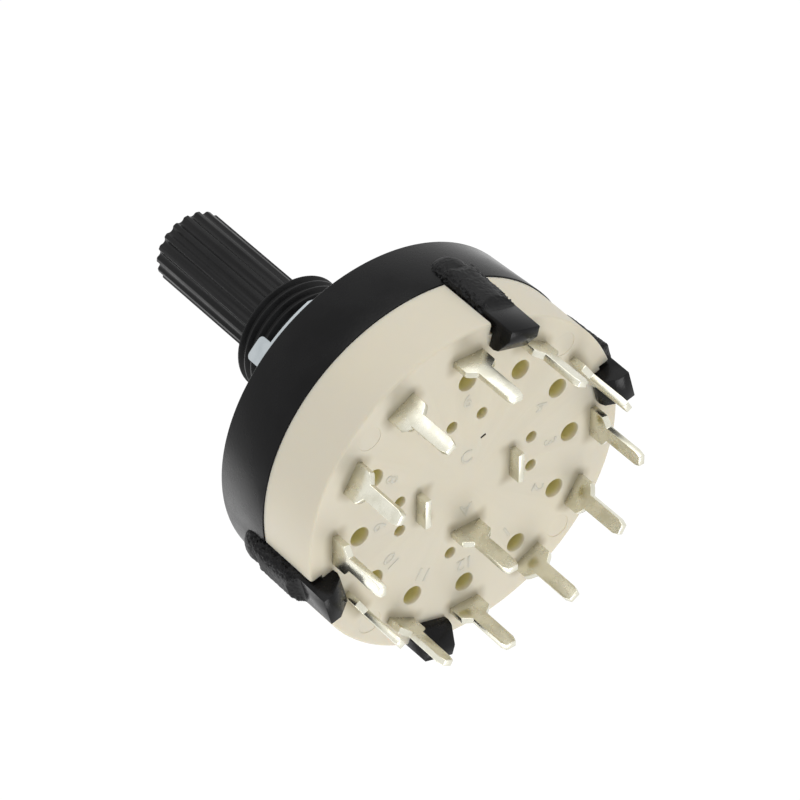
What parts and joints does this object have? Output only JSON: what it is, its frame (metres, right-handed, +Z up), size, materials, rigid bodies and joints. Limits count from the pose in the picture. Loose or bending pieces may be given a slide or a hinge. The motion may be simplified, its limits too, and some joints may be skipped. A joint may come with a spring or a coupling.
{
  "type": "rotary wafer switch",
  "caption": "Round panel rotary switch with a knurled shaft, threaded bushing, and a black housing clipped to a cream wafer with a circle of solder pins.",
  "frame": {"origin": "where the shaft's axis meets the panel, at the inner end of the bushing's thread on the front of the stop ring", "axes": "-Y along the shaft out of the panel, +Y towards the solder pins, +Z up through terminal 6"},
  "size_m": [0.0282, 0.0384, 0.0282],
  "materials": {
    "black_housing": "semi-matte moulded black with fine flash at the parting edges",
    "black_shaft": "semi-matte moulded black",
    "cream_wafer": "satin cream moulding",
    "carrier_plastic": "plain off-white moulding",
    "tinned_brass": "bright tin plate over brass, stamped",
    "contact_bronze": "spring bronze, pressed",
    "zinc_plate": "zinc plated steel, stamped",
    "spring_steel": "drawn wire",
    "ball_steel": "polished"
  },
  "bodies": {
    "housing": {"front_housing": "black_housing", "stop_ring": "zinc_plate", "wafer": "cream_wafer", "common_ring": "tinned_brass", "terminal_01": "tinned_brass", "terminal_02": "tinned_brass", "terminal_03": "tinned_brass", "terminal_04": "tinned_brass", "terminal_05": "tinned_brass", "terminal_06": "tinned_brass", "terminal_07": "tinned_brass", "terminal_08": "tinned_brass", "terminal_09": "tinned_brass", "terminal_10": "tinned_brass", "terminal_11": "tinned_brass", "terminal_12": "tinned_brass"},
    "rotor": {"shaft": "black_shaft", "contact_carrier": "carrier_plastic", "bridging_contact": "contact_bronze", "contact_spring": "spring_steel", "detent_spring_1": "spring_steel", "detent_spring_2": "spring_steel"},
    "ball_1": {"detent_ball_1": "ball_steel"},
    "ball_2": {"detent_ball_2": "ball_steel"}
  },
  "joints": [
    {"name": "shaft_turn", "type": "hinge", "parent": "housing", "child": "rotor", "pos_m": [0, 0, 0], "axis": [0, 1, 0], "range_deg": [-150, 180]},
    {"name": "ball_1_travel", "type": "slide", "parent": "rotor", "child": "ball_1", "axis": [0, 0, -1], "range_m": [0, 0.00036], "stiffness_N_per_m": 5, "springref_m": 0.00036, "deforming": ["detent_spring_1"]},
    {"name": "ball_2_travel", "type": "slide", "parent": "rotor", "child": "ball_2", "axis": [0, 0, 1], "range_m": [0, 0.00036], "stiffness_N_per_m": 5, "springref_m": 0.00036, "deforming": ["detent_spring_2"]}
  ]
}
